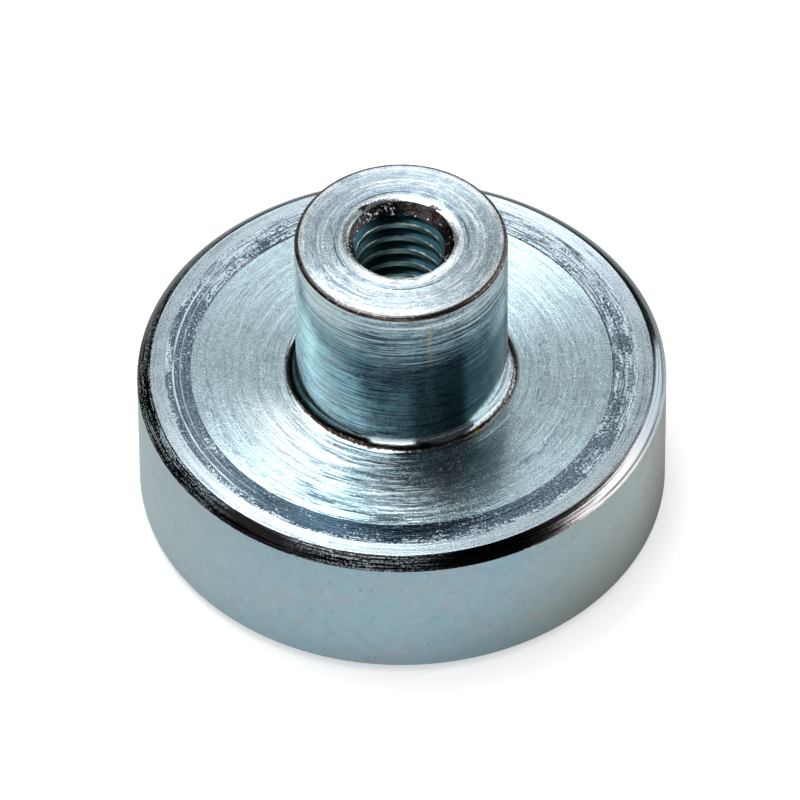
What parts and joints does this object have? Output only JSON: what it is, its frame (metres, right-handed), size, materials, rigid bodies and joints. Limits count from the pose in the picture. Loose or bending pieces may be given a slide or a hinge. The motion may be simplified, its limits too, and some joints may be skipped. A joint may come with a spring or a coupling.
{
  "type": "pot magnet",
  "caption": "Round magnet in a turned steel pot with a raised stem that is tapped along its axis, for screwing into fixtures, brackets and covers.",
  "frame": {"origin": "centre of the holding face, in the plane of the steel rim", "axes": "+Z along the stem and its tapped hole, away from the holding face; the part is turned about Z, so X and Y are free"},
  "size_m": [0.02, 0.02, 0.013],
  "materials": {
    "zinc_plated_steel": "satin",
    "plated_magnet": "satin",
    "cast_resin": "gloss"
  },
  "bodies": {
    "root": {"steel_pot": "zinc_plated_steel", "magnet_disc": "plated_magnet", "resin_fill": "cast_resin"}
  },
  "joints": []
}
